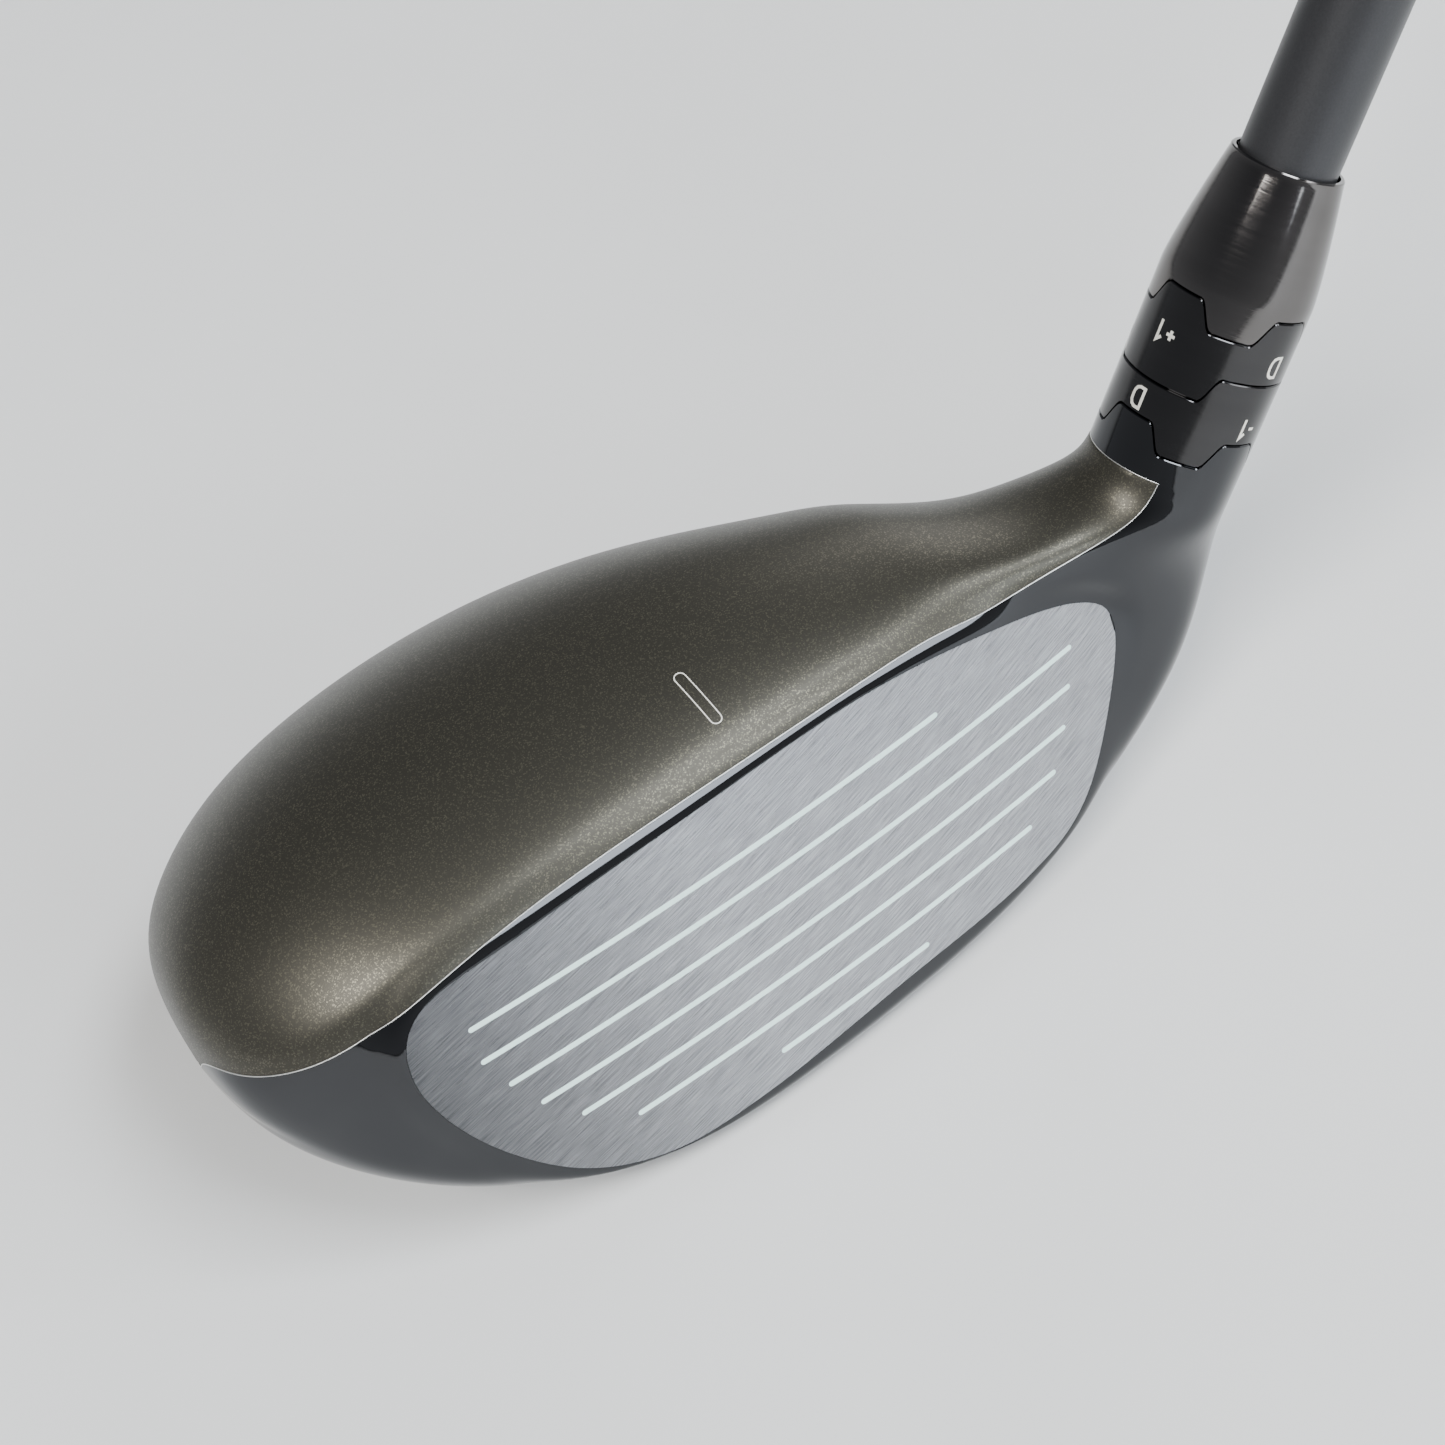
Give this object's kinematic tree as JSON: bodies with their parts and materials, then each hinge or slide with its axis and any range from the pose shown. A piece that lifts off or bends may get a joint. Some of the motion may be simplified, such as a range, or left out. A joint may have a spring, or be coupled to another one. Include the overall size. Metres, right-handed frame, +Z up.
{
  "type": "hybrid golf club",
  "caption": "Hybrid golf club with a hollow adjustable-hosel head, brushed grooved face, graphite shaft and rubber grip.",
  "frame": {"origin": "middle of the flat resting pad of the sole, on the ground plane", "axes": "+Z up with the club soled at address, +X from toe to heel, the face looks along -Y; the shaft leans towards +X"},
  "size_m": [0.6253, 0.0581, 0.8744],
  "materials": {
    "gloss_black": "mirror-polished black PVD",
    "crown_paint": "matte metallic brown-grey paint",
    "face_steel": "brushed steel with pale paint-filled grooves",
    "tungsten": "sintered tungsten",
    "weight_metal": "machined steel",
    "washer_rubber": "black rubber",
    "screw_steel": "machined titanium-grey screw",
    "washer_steel": "plain washer",
    "clip_rubber": "black elastomer",
    "sleeve_aluminium": "turned aluminium",
    "cog_black": "gloss black",
    "ferrule_black": "gloss black, turned",
    "graphite": "satin charcoal paint on graphite",
    "plug_brass": "brass plug",
    "tape_paper": "double-sided paper tape",
    "grip_rubber": "textured black rubber",
    "cap_rubber": "smooth black rubber"
  },
  "bodies": {
    "head": {"head_body": "gloss_black", "crown_shell": "crown_paint", "face_plate": "face_steel", "internal_weight": "tungsten", "screw_washer": "washer_steel"},
    "head_screw": {"retaining_screw": "screw_steel", "screw_clip": "clip_rubber"},
    "lower_ring": {"lower_cog": "cog_black"},
    "upper_ring": {"upper_cog": "cog_black"},
    "shaft_assembly": {"adapter_sleeve": "sleeve_aluminium", "ferrule": "ferrule_black", "shaft": "graphite", "tip_plug": "plug_brass", "grip_tape": "tape_paper", "grip": "grip_rubber", "grip_cap": "cap_rubber"},
    "sole_washer": {"weight_washer": "washer_rubber"},
    "sole_weight": {"weight_screw": "weight_metal"}
  },
  "joints": [
    {"name": "screw_turn", "type": "hinge", "parent": "head", "child": "head_screw", "pos_m": [0.04172, 0.0017, 0.00861], "axis": [-0.5195, 0, -0.8545], "range_deg": [0, 3240]},
    {"name": "lower_ring_lift", "type": "slide", "parent": "head", "child": "lower_ring", "axis": [0.5195, 0, 0.8545], "range_m": [0, 0.03]},
    {"name": "upper_ring_lift", "type": "slide", "parent": "lower_ring", "child": "upper_ring", "axis": [0.5195, 0, 0.8545], "range_m": [0, 0.006]},
    {"name": "shaft_lift", "type": "slide", "parent": "upper_ring", "child": "shaft_assembly", "axis": [0.5195, 0, 0.8545], "range_m": [0, 0.0072]},
    {"name": "weight_out", "type": "slide", "parent": "head", "child": "sole_washer", "axis": [0, 0.1994, -0.9799], "range_m": [0, 0.006]},
    {"name": "weight_turn", "type": "hinge", "parent": "sole_washer", "child": "sole_weight", "pos_m": [-0.0046, 0.0239, 0.0061], "axis": [0, 0.1994, -0.9799], "range_deg": [0, 2160]}
  ],
  "couplings": [
    {"joint": "screw_turn", "follows": "shaft_lift", "rad_per_m": 7854},
    {"joint": "weight_turn", "follows": "weight_out", "rad_per_m": 6283.2}
  ]
}
